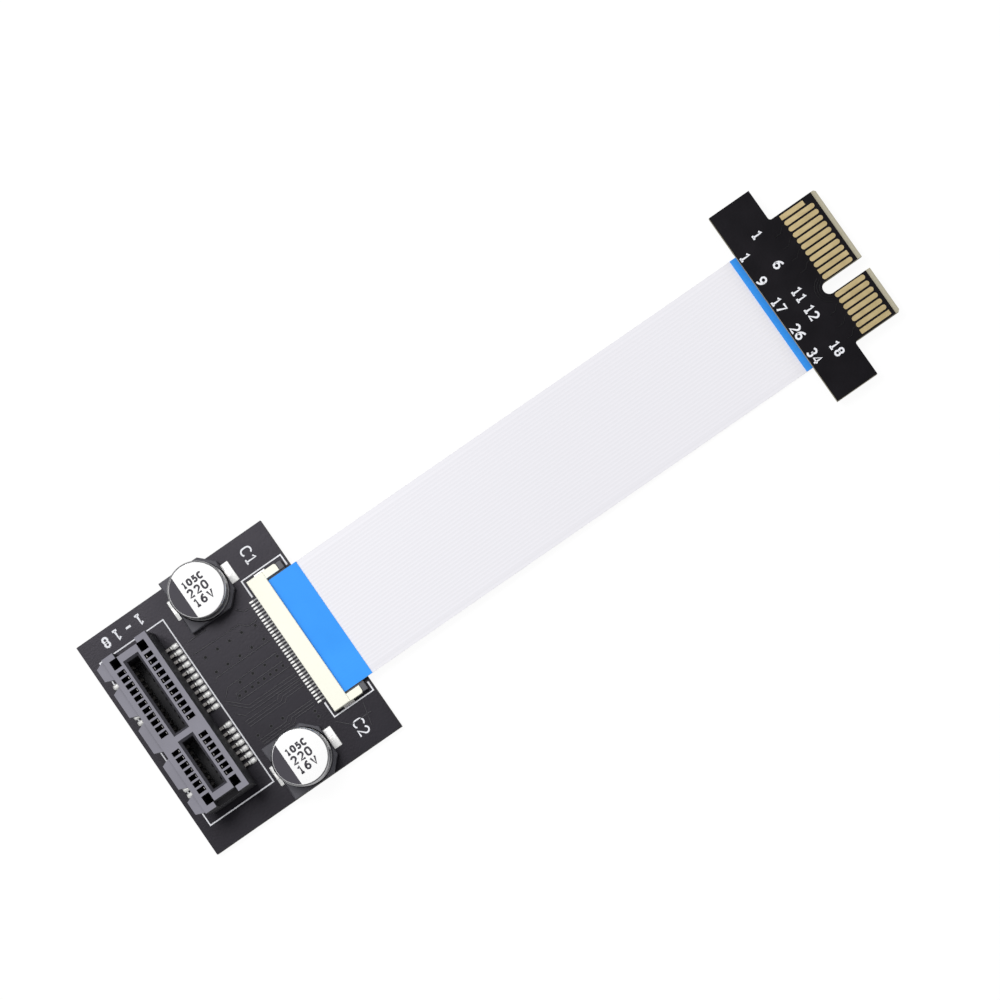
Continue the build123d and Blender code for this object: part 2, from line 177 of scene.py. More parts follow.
def blend_colours(tree, factor, low, high):
    """A colour between two, by a mask."""
    mixed = add_node(tree, "ShaderNodeMix", data_type="RGBA")
    for socket, value in ((mixed.inputs["Factor"], factor), (mixed.inputs[6], low), (mixed.inputs[7], high)):
        if isinstance(value, bpy.types.NodeSocket):
            tree.links.new(value, socket)
        else:
            socket.default_value = value
    return mixed.outputs[2]


def spread(tree, value, low, high, start=0.0, end=1.0):
    """A mask from start to end, stretched to run from low to high."""
    inputs = {"Value": value, "From Min": start, "From Max": end, "To Min": low, "To Max": high}
    return add_node(tree, "ShaderNodeMapRange", inputs).outputs[0]


def noise_over(tree, vector, scale, detail):
    """Noise over a surface, about 0.5 on average."""
    inputs = {"Vector": vector, "Scale": scale, "Detail": detail}
    return add_node(tree, "ShaderNodeTexNoise", inputs).outputs[0]


def axis_of(tree, vector, axis):
    """One of a vector's three parts."""
    return add_node(tree, "ShaderNodeSeparateXYZ", {0: vector}).outputs[axis]


def levelness(tree):
    """1 on a piece's level faces, 0 on its upright ones."""
    facing = add_node(tree, "ShaderNodeTexCoord").outputs["Normal"]
    return calculate(tree, "ABSOLUTE", axis_of(tree, facing, "Z"))


def new_effect(name, inputs, outputs):
    """An empty effect group with named inputs and outputs."""
    group = bpy.data.node_groups.new(name, "ShaderNodeTree")
    for label, kind in inputs.items():
        group.interface.new_socket(label, in_out="INPUT", socket_type=kind)
    for label, kind in outputs.items():
        group.interface.new_socket(label, in_out="OUTPUT", socket_type=kind)
    return group, group.nodes.new("NodeGroupInput").outputs, group.nodes.new("NodeGroupOutput").inputs


def use_effect(tree, group, **inputs):
    """Places an effect group in a material with its own values."""
    made = tree.nodes.new("ShaderNodeGroup")
    made.node_tree = group
    for name, value in inputs.items():
        socket = made.inputs[name]
        if isinstance(value, bpy.types.NodeSocket):
            tree.links.new(value, socket)
        else:
            socket.default_value = value
    return made.outputs


surface_grain, given, result = new_effect(
    "surface_grain",
    {"Vector": "NodeSocketVector", "Fineness": "NodeSocketFloat", "Depth": "NodeSocketFloat"},
    {"Normal": "NodeSocketVector", "Cloud": "NodeSocketFloat"},
)
grain = noise_over(surface_grain, given["Vector"], given["Fineness"], 3)
bumps = {"Strength": given["Depth"], "Distance": 0.02 * mm, "Height": grain}
bumped = add_node(surface_grain, "ShaderNodeBump", bumps).outputs[0]
coarse = calculate(surface_grain, "MULTIPLY", given["Fineness"], 0.06)
cloud = noise_over(surface_grain, given["Vector"], coarse, 4)
surface_grain.links.new(bumped, result["Normal"])
surface_grain.links.new(cloud, result["Cloud"])

fine_scratches, given, result = new_effect(
    "fine_scratches",
    {"Vector": "NodeSocketVector", "Fineness": "NodeSocketFloat", "Share": "NodeSocketFloat"},
    {"Mask": "NodeSocketFloat"},
)
streaks = noise_over(fine_scratches, given["Vector"], given["Fineness"], 2)
least = calculate(fine_scratches, "SUBTRACT", 0.8, given["Share"])
marks = spread(fine_scratches, streaks, 0.0, 1.0, least, 0.85)
fine_scratches.links.new(marks, result["Mask"])

laminate_light = (0.53, 0.495, 0.375, 1)
laminate_dark = (0.36, 0.33, 0.235, 1)
dark_edge_tone = (0.035, 0.033, 0.03, 1)
mask_tint = (0.93, 0.88, 1.0, 1)
glass_layer = 0.2 * mm


def board_finish(name, mask_dark, mask_light, sheen, edge_darkening):
    """Black mask on both faces. Layered glass-fibre at the cut edges, darkened towards near black on those
    upright faces by a given share.
    """
    material, tree, shader, own = new_material(name, specular=sheen)
    shader.inputs["Specular Tint"].default_value = mask_tint
    level = levelness(tree)
    flat = calculate(tree, "GREATER_THAN", level, 0.96)
    grain = use_effect(tree, surface_grain, Vector=own, Fineness=4000, Depth=0.35)
    mask = blend_colours(tree, spread(tree, grain["Cloud"], 0, 1, 0.35, 0.65), mask_dark, mask_light)
    layer = calculate(tree, "PINGPONG", axis_of(tree, own, "Z"), glass_layer)
    fibre = noise_over(tree, own, 5000, 3)
    cut = calculate(tree, "ADD", spread(tree, layer, 0, 0.6, 0, glass_layer), fibre)
    laminate = blend_colours(tree, spread(tree, cut, 0, 1, 0.3, 1.1), laminate_dark, laminate_light)
    routed = calculate(tree, "LESS_THAN", level, 0.1)
    bare = blend_colours(tree, spread(tree, routed, 0, edge_darkening), laminate, dark_edge_tone)
    feed(tree, shader, "Base Color", blend_colours(tree, flat, bare, mask))
    rough = spread(tree, grain["Cloud"], 0.29, 0.34, 0.3, 0.7)
    feed(tree, shader, "Roughness", calculate(tree, "MAXIMUM", rough, spread(tree, flat, 0.8, 0)))
    feed(tree, shader, "Normal", grain["Normal"])
    return material


def thin_layer(name, dark, light, roughness, specular, fineness, depth):
    """Ink, paint or mask: a slow change of tone and a fine grain."""
    material, tree, shader, own = new_material(name, roughness, specular=specular)
    grain = use_effect(tree, surface_grain, Vector=own, Fineness=fineness, Depth=depth)
    feed(tree, shader, "Base Color", blend_colours(tree, grain["Cloud"], dark, light))
    feed(tree, shader, "Normal", grain["Normal"])
    return material


def give_finish(piece, material):
    """Puts one finish all over a piece."""
    piece.data.materials.clear()
    piece.data.materials.append(material)


def finish_node(name, material):
    """Gives a CAD node that stays as it is a better finish."""
    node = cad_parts[name]
    for place in node.material_slots:
        place.material = material
    if not node.material_slots:
        node.data.materials.append(material)


def mask_over_copper(name, dark, light, sheen):
    """Solder mask where it climbs over copper: a little paler, and smoother than on the laminate."""
    material, tree, shader, own = new_material(name, specular=sheen)
    grain = use_effect(tree, surface_grain, Vector=own, Fineness=6000, Depth=0.2)
    feed(tree, shader, "Base Color", blend_colours(tree, grain["Cloud"], dark, light))
    feed(tree, shader, "Roughness", spread(tree, grain["Cloud"], 0.3, 0.4, 0.3, 0.7))
    feed(tree, shader, "Normal", grain["Normal"])
    return material


socket_mask = board_finish(
    "socket_board_mask", (0.0055, 0.005, 0.0075, 1), (0.009, 0.0085, 0.012, 1), sheen=0.24, edge_darkening=0.8
)
socket_copper = mask_over_copper(
    "socket_board_copper", (0.036, 0.034, 0.041, 1), (0.047, 0.045, 0.053, 1), sheen=0.25
)
finish_node("socket_board", socket_mask)
white_print = thin_layer(
    "white_print",
    (0.84, 0.85, 0.9, 1),
    (0.93, 0.94, 0.98, 1),
    roughness=0.6,
    specular=0.3,
    fineness=9000,
    depth=0.3,
)


def on_socket_board(across, down):
    """A place on the socket board, from its distances in mm to the -X edge and the +Y edge."""
    return (board_edge_x + across * mm, board_edge_y - down * mm)


def select_only(piece):
    """Leaves one object selected and active."""
    bpy.ops.object.select_all(action="DESELECT")
    piece.select_set(True)
    bpy.context.view_layer.objects.active = piece


def lay_strips(name, routes, width, height, level, material, closed=False):
    """Raised strips along routes over a board, each rounded over across its width."""
    curve = bpy.data.curves.new(name, "CURVE")
    curve.dimensions = "3D"
    curve.bevel_depth = width / 2
    curve.bevel_resolution = 1
    curve.use_fill_caps = True
    for route in routes:
        line = curve.splines.new("POLY")
        line.points.add(len(route) - 1)
        line.use_cyclic_u = closed
        for point, (x, y) in zip(line.points, route):
            point.co = (x, y, 0, 1)
    piece = bpy.data.objects.new(name, curve)
    bpy.context.scene.collection.objects.link(piece)
    select_only(piece)
    bpy.ops.object.convert(target="MESH")
    bpy.ops.object.mode_set(mode="EDIT")
    bpy.ops.mesh.select_all(action="SELECT")
    bpy.ops.transform.resize(value=(1, 1, 2 * height / width), center_override=(0, 0, 0))
    bpy.ops.transform.translate(value=(0, 0, level))
    bpy.ops.object.mode_set(mode="OBJECT")
    give_finish(piece, material)
    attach(piece, "riser")


def dogleg(start, bend, jog, end):
    """A track along X that shifts sideways once, on a 45 degree run."""
    return [start, bend, (bend[0] + abs(jog), bend[1] + jog), (end, bend[1] + jog)]


print_height = 0.02 * mm
track_height = 0.03 * mm
track_width = 0.2 * mm
# Tracks in mm from the -X edge and the +Y edge, as are the rows of holes, outlines and labels
tracks = [
    [(13.0, 8.1), (16.2, 8.1)],
    [(21.0, 8.2), (21.9, 9.1), (22.6, 9.1)],
    [(12.7, 9.95), (20.2, 10.1), (21.2, 11.0), (22.6, 11.0)],
    [(13.1, 14.9), (13.6, 14.35), (22.5, 14.3)],
    [(13.1, 17.3), (14.1, 16.3), (22.3, 16.2)],
    [(14.4, 18.6), (14.4, 17.9), (14.6, 17.65), (22.3, 17.65)],
    [(14.4, 18.8), (22.6, 18.8)],
    [(12.8, 17.7), (15.1, 20.0), (22.8, 20.0)],
    [(12.8, 18.3), (15.0, 20.45), (22.8, 20.45)],
    [(12.9, 19.9), (13.9, 20.9), (22.8, 20.9)],
]
for i in range(3):
    down = 21.6 + 0.45 * i
    tracks.append(dogleg((13.4 + 0.1 * i, down), (18.8 + 0.35 * i, down), -0.45, 22.8))
for i in range(3):
    down = 24.8 + 0.4 * i
    tracks.append(dogleg((13.6 + 0.1 * i, down), (18.1 + 0.4 * i, down), -0.5, 22.6))
tracks.append([(23.6, 28.6), (25.2, 30.2), (28.4, 30.2)])
tracks.append([(28.2, 28.6), (27.4, 31.8)])
lay_strips(
    "socket_board_tracks",
    [[on_socket_board(*point) for point in track] for track in tracks],
    track_width,
    track_height,
    board_top,
    socket_copper,
)

# Holes along each row, by the row's distance from the +Y edge
via_rows = {
    11.2: (13.9, 15.9, 17.9, 19.9),
    11.5: (22.0,),
    13.7: (14.0, 15.9, 17.9, 19.9, 21.9),
    16.7: (15.9, 18.0, 20.0, 22.1),
    18.2: (14.8, 15.8, 16.9, 17.9, 18.9, 19.9, 20.9, 22.0),
    24.1: (13.8, 16.0, 17.9),
    25.8: (22.1,),
    26.7: (22.1,),
}
via_radius = 0.3 * mm
via_mouth = 0.22 * mm


def join_all(name, parts):
    """Joins like pieces, each with its own mesh, into one."""
    bpy.ops.object.select_all(action="DESELECT")
    for part in parts:
        part.select_set(True)
    bpy.context.view_layer.objects.active = parts[0]
    bpy.ops.object.join()
    joined = bpy.context.object
    joined.name = name
    return joined


def copies_at(model, places):
    """Copies a modelled piece to each place, with its own mesh, and takes the model away."""
    copies = []
    for place in places:
        copy = model.copy()
        copy.data = model.data.copy()
        copy.data.transform(Matrix.Translation(place))
        bpy.context.scene.collection.objects.link(copy)
        copies.append(copy)
    bpy.data.objects.remove(model)
    return copies


# Painted shade: the near-black middle of each covered hole.
painted_hole_shade = thin_layer(
    "covered_hole_painted_shade", grey(0.002), grey(0.006), roughness=0.5, specular=0.2, fineness=9000, depth=0.3
)
bpy.ops.mesh.primitive_circle_add(vertices=20, radius=via_radius, fill_type="NGON")
via = bpy.context.object
via.data.materials.append(socket_copper)
via.data.materials.append(painted_hole_shade)
bpy.ops.object.mode_set(mode="EDIT")
bpy.ops.mesh.select_all(action="SELECT")
bpy.ops.mesh.inset(thickness=(via_radius - via_mouth) / 2, depth=track_height / 2)
bpy.ops.mesh.inset(thickness=(via_radius - via_mouth) / 2, depth=0)
bpy.ops.mesh.inset(thickness=via_mouth / 6, depth=-0.4 * track_height)
bpy.context.object.active_material_index = 1
bpy.ops.object.material_slot_assign()
bpy.ops.object.mode_set(mode="OBJECT")
via_places = [on_socket_board(across, down) for down, row in via_rows.items() for across in row]
vias = join_all("socket_board_vias", copies_at(via, [Vector((x, y, board_top)) for x, y in via_places]))
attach(vias, "riser")

outline_width = 0.3 * mm
socket_outline = [(1.5, 3.6), (12.0, 3.6), (12.0, 30.5), (1.5, 30.5)]
lay_strips(
    "socket_outline_print",
    [[on_socket_board(*corner) for corner in socket_outline]],
    outline_width,
    print_height,
    board_top,
    white_print,
    closed=True,
)
connector_brackets = [
    [(23.85, 8.1), (23.85, 5.45), (30.3, 5.45), (30.3, 7.1)],
    [(23.85, 25.6), (23.85, 28.0), (30.3, 28.0), (30.3, 26.6)],
]
lay_strips(
    "connector_outline_print",
    [[on_socket_board(*corner) for corner in bracket] for bracket in connector_brackets],
    outline_width,
    print_height,
    board_top,
    white_print,
)


def arc(centre, radius, start, end, steps=8):
    """Points along an arc, its start and end in degrees."""
    turns = [math.radians(start + (end - start) * i / steps) for i in range(steps + 1)]
    return [(centre[0] + radius * math.cos(turn), centre[1] + radius * math.sin(turn)) for turn in turns]


# Figures in strokes, one unit high, starting at the left foot
figure_strokes = {
    "0": [arc((0.31, 0.69), 0.31, 0, 180) + arc((0.31, 0.31), 0.31, 180, 360) + [(0.62, 0.69)]],
    "1": [[(0.1, 0.78), (0.36, 1.0), (0.36, 0.0)], [(0.12, 0.0), (0.6, 0.0)]],
    "2": [arc((0.31, 0.7), 0.3, 165, -30) + [(0.02, 0.0), (0.64, 0.0)]],
    "3": [arc((0.3, 0.74), 0.26, 150, -90) + arc((0.3, 0.24), 0.26, 90, -150)],
    "4": [[(0.66, 0.28), (0.0, 0.28), (0.46, 1.0), (0.46, 0.0)]],
    "5": [[(0.58, 1.0), (0.1, 1.0), (0.06, 0.56)] + arc((0.3, 0.32), 0.32, 120, -150)],
    "6": [arc((0.62, 0.4), 0.6, 95, 180, 6) + arc((0.31, 0.31), 0.3, 180, 540)],
    "7": [[(0.02, 1.0), (0.62, 1.0), (0.2, 0.0)]],
    "8": [arc((0.31, 0.74), 0.25, -90, 270), arc((0.31, 0.25), 0.26, 90, 450)],
    "9": [arc((0.31, 0.69), 0.3, 0, 360) + arc((0.0, 0.6), 0.61, 0, -85, 6)],
    "C": [arc((0.34, 0.66), 0.34, 35, 180, 6) + arc((0.34, 0.34), 0.34, 180, 325, 6)],
    "V": [[(0.0, 1.0), (0.32, 0.0), (0.64, 1.0)]],
    "-": [[(0.05, 0.48), (0.6, 0.48)]],
}
figure_width = 0.64


def stroke_routes(figures, height, step, centre, reading, upwards):
    """The strokes of a row of figures about its centre, given the ways it reads and stands."""
    routes = []
    row_length = (len(figures) - 1) * step + figure_width * height
    for i, figure in enumerate(figures):
        for stroke in figure_strokes.get(figure, []):
            route = []
            for x, y in stroke:
                along = i * step + x * height - row_length / 2
                up = (y - 0.5) * height
                route.append(tuple(centre[k] + along * reading[k] + up * upwards[k] for k in (0, 1)))
            routes.append(route)
    return routes


along_y = (0, -1)
towards_cable = (1, 0)
label_height = 1.5 * mm
label_step = 1.3 * mm
label_stroke = 0.27 * mm
row_label_height = 1.4 * mm
row_label_step = 1.85 * mm
row_label_stroke = 0.38 * mm
for name, figures, across, down in (("label_c1", "C1", 26.7, 3.0), ("label_c2", "C2", 26.1, 31.2)):
    place = on_socket_board(across, down)
    routes = stroke_routes(figures, label_height, label_step, place, along_y, towards_cable)
    lay_strips(name, routes, label_stroke, print_height, board_top, white_print)
place = on_socket_board(6.6, 1.75)
routes = stroke_routes("1-18", row_label_height, row_label_step, place, (-1, 0), along_y)
lay_strips("label_contact_row", routes, row_label_stroke, print_height, board_top, white_print)


# Card socket
# One charcoal moulding with a key rib, a stepped rail outside and a window over each contact.
# Its edges are slightly rounded by the mould, and its walls have a fine matte grain.
def whole_copy(node, name):
    """A copy of a CAD node's mesh, its loose triangles joined into whole flat faces."""
    piece = bpy.data.objects.new(name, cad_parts[node].data.copy())
    bpy.context.scene.collection.objects.link(piece)
    select_only(piece)
    bpy.ops.object.mode_set(mode="EDIT")
    bpy.ops.mesh.select_all(action="SELECT")
    bpy.ops.mesh.remove_doubles(threshold=0.0005 * mm)
    bpy.ops.mesh.dissolve_limited(angle_limit=math.radians(1))
    bpy.ops.object.mode_set(mode="OBJECT")
    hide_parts(node)
    return piece


def round_edges(piece, width, wanted, segments=2):
    """Rounds a piece's sharp edges where the test on an edge's two ends holds."""
    select_only(piece)
    bpy.ops.object.mode_set(mode="EDIT")
    bpy.ops.mesh.select_mode(type="EDGE")
    bpy.ops.mesh.select_all(action="DESELECT")
    mesh = bmesh.from_edit_mesh(piece.data)
    for edge in mesh.edges:
        sharp = len(edge.link_faces) == 2 and edge.calc_face_angle() > math.radians(25)
        edge.select_set(sharp and wanted(edge.verts[0].co, edge.verts[1].co))
    bmesh.update_edit_mesh(piece.data)
    bpy.ops.mesh.bevel(offset=width, segments=segments, clamp_overlap=True)
    bpy.ops.object.mode_set(mode="OBJECT")


def moulded_plastic(name, dark, light, fineness=3500, roughness=(0.5, 0.62), shaded_wall_share=1.0, shade_depths=None):
    """Moulded plastic with a matte grain. Its walls, and all below a level, can be darkened with painted
    shade.
    """
    material, tree, shader, own = new_material(name, specular=0.4)
    grain = use_effect(tree, surface_grain, Vector=own, Fineness=fineness, Depth=0.5)
    tone = blend_colours(tree, spread(tree, grain["Cloud"], 0, 1, 0.3, 0.7), dark, light)
    painted_shade = spread(tree, levelness(tree), 1 - shaded_wall_share, 0, 0.3, 0.8)
    if shade_depths:
        painted_depth_shade = spread(tree, axis_of(tree, own, "Z"), 1 - shaded_wall_share, 0, *shade_depths)
        painted_shade = calculate(tree, "MAXIMUM", painted_shade, painted_depth_shade)
    feed(tree, shader, "Base Color", blend_colours(tree, painted_shade, tone, grey(0.0)))
    feed(tree, shader, "Roughness", spread(tree, grain["Cloud"], *roughness, 0.3, 0.7))
    feed(tree, shader, "Normal", grain["Normal"])
    return material


socket_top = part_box("slot_housing")[1].z
# Painted shade: the socket's upright walls keep only a small share of its tone. So does all of it from 3.5 mm
# below its top downwards, fading in from 1.5 mm.
charcoal = moulded_plastic(
    "charcoal_moulding",
    (0.205, 0.2, 0.24, 1),
    (0.25, 0.245, 0.29, 1),
    shaded_wall_share=0.14,
    shade_depths=(socket_top - 3.5 * mm, socket_top - 1.5 * mm),
)
near = 0.01 * mm
mould_round = 0.05 * mm
housing = whole_copy("slot_housing", "socket_moulding")
round_edges(housing, mould_round, lambda a, b: min(a.z, b.z) > socket_top - near)
give_finish(housing, charcoal)
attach(housing, "riser")


def plated(
    name, dark, light, roughness, scratch, stretch=(1, 1, 1), fineness=2500, painted_shade_band=None, bright=1.0
):
    """Plated metal with fine rubbed marks. Above a level it can be darkened towards brown with painted shade,
    most of all in a band.
    """
    material, tree, shader, own = new_material(name, metallic=bright)
    cloud = use_effect(tree, surface_grain, Vector=own, Fineness=9000, Depth=0.15)
    drawn = add_node(tree, "ShaderNodeMapping", {"Vector": own, "Scale": stretch}).outputs[0]
    marks = use_effect(tree, fine_scratches, Vector=drawn, Fineness=fineness, Share=scratch)["Mask"]
    tone = blend_colours(tree, spread(tree, cloud["Cloud"], 0, 1, 0.35, 0.65), dark, light)
    if painted_shade_band:
        level = axis_of(tree, own, "Z")
        above = spread(tree, level, 0, 0.85, painted_shade_band[0], painted_shade_band[0] + shade_band_fade)
        below = spread(tree, level, 1, 0.8, painted_shade_band[1], painted_shade_band[1] + shade_band_fade)
        tone = blend_colours(tree, calculate(tree, "MULTIPLY", above, below), tone, painted_shade_brown)
    feed(tree, shader, "Base Color", tone)
    worn = calculate(tree, "MULTIPLY", marks, 0.25)
    steady = spread(tree, cloud["Cloud"], roughness, roughness + 0.1, 0.3, 0.7)
    feed(tree, shader, "Roughness", calculate(tree, "ADD", steady, worn))
    feed(tree, shader, "Normal", cloud["Normal"])
    return material


# Painted shade on the socket's contacts: above their soldered feet they darken towards brown. The darkening
# is strongest on the stems beside the housing and a little weaker up to their tips in the windows.
painted_shade_brown = (0.15, 0.14, 0.135, 1)
shade_band_fade = 0.25 * mm
stem_shade_band = (board_top + 0.22 * mm, board_top + 1.0 * mm)
tin_tones = ((0.52, 0.51, 0.5, 1), (0.68, 0.67, 0.66, 1))
shaded_socket_tin = plated("socket_tin_plate", *tin_tones, 0.28, 0.35, painted_shade_band=stem_shade_band)
tin = plated("tin_plate", *tin_tones, 0.28, 0.35, bright=0.8)
solder = plated("solder", (0.78, 0.78, 0.77, 1), (0.92, 0.92, 0.91, 1), 0.38, 0.2, bright=0.3)

tip_round = 0.08 * mm
foot_round = 0.03 * mm
tip_depth = 0.2 * mm
for side in ("cable_side", "outer_side"):
    row = whole_copy("slot_contacts_" + side, "socket_contacts_" + side)
    tip_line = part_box("slot_contacts_" + side)[1].z - near
    round_edges(row, tip_round, lambda a, b: min(a.z, b.z) > tip_line)
    round_edges(row, foot_round, lambda a, b: max(a.z, b.z) < tip_line - tip_depth, segments=1)
    give_finish(row, shaded_socket_tin)
    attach(row, "riser")


def rounded_block(low, high, upright_round=0.0, top_round=0.0, segments=3):
    """A block between two corners, its upright edges and then its top edges rounded over."""
    centre = (Vector(low) + Vector(high)) / 2
    size = Vector(high) - Vector(low)
    bpy.ops.mesh.primitive_cube_add(size=1, location=(0, 0, 0))
    piece = bpy.context.object
    bpy.ops.object.mode_set(mode="EDIT")
    bpy.ops.transform.resize(value=size, center_override=(0, 0, 0))
    bpy.ops.transform.translate(value=centre)
    bpy.ops.object.mode_set(mode="OBJECT")
    hair = 0.001 * mm
    if upright_round:
        round_edges(piece, upright_round, lambda a, b: (a.xy - b.xy).length < hair, segments)
    if top_round:
        round_edges(piece, top_round, lambda a, b: min(a.z, b.z) > high[2] - hair, segments)
    for face in piece.data.polygons:
        face.use_smooth = True
    bpy.ops.object.shade_smooth_by_angle(angle=math.radians(35))
    return piece


contact_pitch = 1.0 * mm
contacts_before_key = 11
contacts_after_key = 7
key_gap = 3.0 * mm
contact_half = 0.225 * mm
row_steps = [i * contact_pitch for i in range(contacts_before_key)]
row_steps += [row_steps[-1] + key_gap + i * contact_pitch for i in range(contacts_after_key)]
# Two lumps of solder on each foot: how far they reach in and out from its tip, half width, height
foot_solder = ((1.22, -0.68, 0.28, 0.78), (0.84, 0.14, 0.38, 0.4))
lump_rounds = (0.25 * mm, 0.22 * mm)
for side, direction in (("cable_side", 1), ("outer_side", -1)):
    low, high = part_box("slot_contacts_" + side)
    first_y = high.y - contact_half
    tip_x = high.x if direction == 1 else low.x
    lumps = []
    for inner, outer, half, height in foot_solder:
        span = sorted((tip_x - direction * inner * mm, tip_x + direction * outer * mm))
        lump = rounded_block(
            (span[0], -half * mm, board_top),
            (span[1], half * mm, board_top + height * mm),
            *lump_rounds,
        )
        lumps += copies_at(lump, [Vector((0, first_y - step, 0)) for step in row_steps])
    mounds = join_all("socket_solder_" + side, lumps)
    give_finish(mounds, solder)
    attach(mounds, "riser")


# Chip capacitors
# Two drawn aluminium cans with a rolled bead and a rounded rim, each on a charcoal base with
# two cut corners. A dark segment marks one side of the top, and flat leads are soldered down.
aluminium = plated(
    "drawn_aluminium", (0.74, 0.74, 0.76, 1), (0.88, 0.88, 0.9, 1), 0.24, 0.3, stretch=(1, 1, 6)
)
base_plastic = moulded_plastic("capacitor_base_plastic", (0.075, 0.073, 0.088, 1), (0.1, 0.098, 0.115, 1))
can_print = moulded_plastic(
    "capacitor_print", (0.042, 0.038, 0.052, 1), (0.056, 0.051, 0.067, 1), fineness=9000
)
# The tops are light bare aluminium, given as plain white paint. This is partly their own tone and partly a
# painted highlight standing in for their bright reflection.
top_painted_highlight = thin_layer(
    "capacitor_top_painted_highlight", grey(0.9), grey(0.96), roughness=0.4, specular=0.5, fineness=5000, depth=0.2
)

base_round = 0.12 * mm
rim_round = 0.3 * mm
bead_width = 0.5 * mm
bead_depth = 0.25 * mm
bead_height = 1.5 * mm
marked_chord = 0.47
mark_thickness = 0.008 * mm
mark_sink = 0.001 * mm
# Each line's figures, their height and their middle's distance from the can's axis, in mm
rating_lines = (("105C", 0.8, 1.42), ("220", 1.05, 0.0), ("16V", 1.05, -1.5))
rating_shift = 0.06
rating_step = 1.07
rating_stroke = 0.29 * mm
rating_thickness = 0.01 * mm
# Solder under each lead: half its width, its height, its rounded edges, and how far it goes in and
# out from the tip
land_half = 1.55 * mm
land_height = 0.12 * mm
land_rounds = (0.12 * mm, 0.08 * mm)
land_cover = 1.0 * mm
land_reach = {-1: 0.1 * mm, 1: 0.65 * mm}
for number in ("1", "2"):
    base = whole_copy(f"capacitor_{number}_base", f"capacitor_{number}_foot")
    base_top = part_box(f"capacitor_{number}_base")[1].z
    round_edges(base, base_round, lambda a, b: min(a.z, b.z) > base_top - near)
    give_finish(base, base_plastic)
    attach(base, "riser")
    finish_node(f"capacitor_{number}_leads", tin)

    low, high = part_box(f"capacitor_{number}_can")
    centre = (low + high) / 2
    radius = (high.x - low.x) / 2
    bead_z = low.z + bead_height
    profile = [(radius, low.z), (radius, bead_z - bead_width / 2)]
    for i in range(1, 8):
        turn = math.pi * i / 8
        profile.append((radius - bead_depth * math.sin(turn), bead_z - bead_width / 2 * math.cos(turn)))
    profile.append((radius, bead_z + bead_width / 2))
    profile += arc((radius - rim_round, high.z - rim_round), rim_round, 0, 90)
    bpy.ops.mesh.primitive_circle_add(vertices=72, radius=radius, fill_type="NGON", location=(0, 0, 0))
    can = bpy.context.object
    bpy.ops.object.mode_set(mode="EDIT")
    bpy.ops.mesh.select_all(action="SELECT")
    bpy.ops.transform.translate(value=(centre.x, centre.y, low.z))
    here = profile[0]
    for there in profile[1:]:
        bpy.ops.mesh.extrude_region_move(TRANSFORM_OT_translate={"value": (0, 0, there[1] - here[1])})
        share = there[0] / here[0]
        bpy.ops.transform.resize(value=(share, share, 1), center_override=(centre.x, centre.y, there[1]))
        here = there
    bpy.ops.mesh.select_all(action="SELECT")
    bpy.ops.mesh.normals_make_consistent(inside=False)
    bpy.ops.object.mode_set(mode="OBJECT")
    can.name = f"capacitor_{number}_drawn_can"
    bpy.ops.object.shade_smooth_by_angle(angle=math.radians(40))
    give_finish(can, aluminium)
    can.data.materials.append(top_painted_highlight)
    for face in can.data.polygons:
        if face.normal.z > 0.99 and face.center.z > high.z - near:
            face.material_index = 1
    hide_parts(f"capacitor_{number}_can")
    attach(can, "riser")

    marked_radius = radius - rim_round * 0.9
    chord_place = (-marked_chord * radius, 0, 0)
    bpy.ops.mesh.primitive_circle_add(
        vertices=96, radius=marked_radius, fill_type="NGON", location=(0, 0, 0)
    )
    mark = bpy.context.object
    bpy.ops.object.mode_set(mode="EDIT")
    bpy.ops.mesh.select_all(action="SELECT")
    bpy.ops.mesh.bisect(plane_co=chord_place, plane_no=(1, 0, 0), use_fill=False, clear_outer=True)
    bpy.ops.mesh.select_all(action="SELECT")
    bpy.ops.mesh.extrude_region_move(TRANSFORM_OT_translate={"value": (0, 0, mark_thickness)})
    bpy.ops.mesh.select_all(action="SELECT")
    bpy.ops.mesh.normals_make_consistent(inside=False)
    bpy.ops.transform.translate(value=(centre.x, centre.y, high.z - mark_sink))
    bpy.ops.object.mode_set(mode="OBJECT")
    mark.name = f"capacitor_{number}_mark"
    give_finish(mark, can_print)
    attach(mark, "riser")
    routes = []
    for line, height, level in rating_lines:
        place = (centre.x + rating_shift * radius, centre.y + level * mm)
        routes += stroke_routes(line, height * mm, rating_step * height * mm, place, (1, 0), (0, 1))
    rating = f"capacitor_{number}_rating"
    lay_strips(rating, routes, rating_stroke, rating_thickness, high.z, can_print)

    lead_low, lead_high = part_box(f"capacitor_{number}_leads")
    pads = []
    for tip_x, direction in ((lead_low.x, -1), (lead_high.x, 1)):
        span = sorted((tip_x - direction * land_cover, tip_x + direction * land_reach[direction]))
        pads.append(
            rounded_block(
                (span[0], centre.y - land_half, board_top),
                (span[1], centre.y + land_half, board_top + land_height),
                *land_rounds,
            )
        )
    pads = join_all(f"capacitor_{number}_solder", pads)
    give_finish(pads, solder)
    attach(pads, "riser")


# Flat-cable connectors
# An ivory body with a row of forked contacts, soldered behind it, and two folded anchors. A grey
# slider runs between the body's arms and locks the cable. One stands on each board.
ivory = moulded_plastic(
    "ivory_moulding", (0.94, 0.935, 0.8, 1), (0.98, 0.975, 0.86, 1), roughness=(0.42, 0.52)
)
slider_plastic = moulded_plastic("slider_plastic", (0.1, 0.1, 0.115, 1), (0.14, 0.14, 0.155, 1))
conductor_pitch = 0.5 * mm
conductor_count = 34
conductor_row = [(i - (conductor_count - 1) / 2) * conductor_pitch for i in range(conductor_count)]
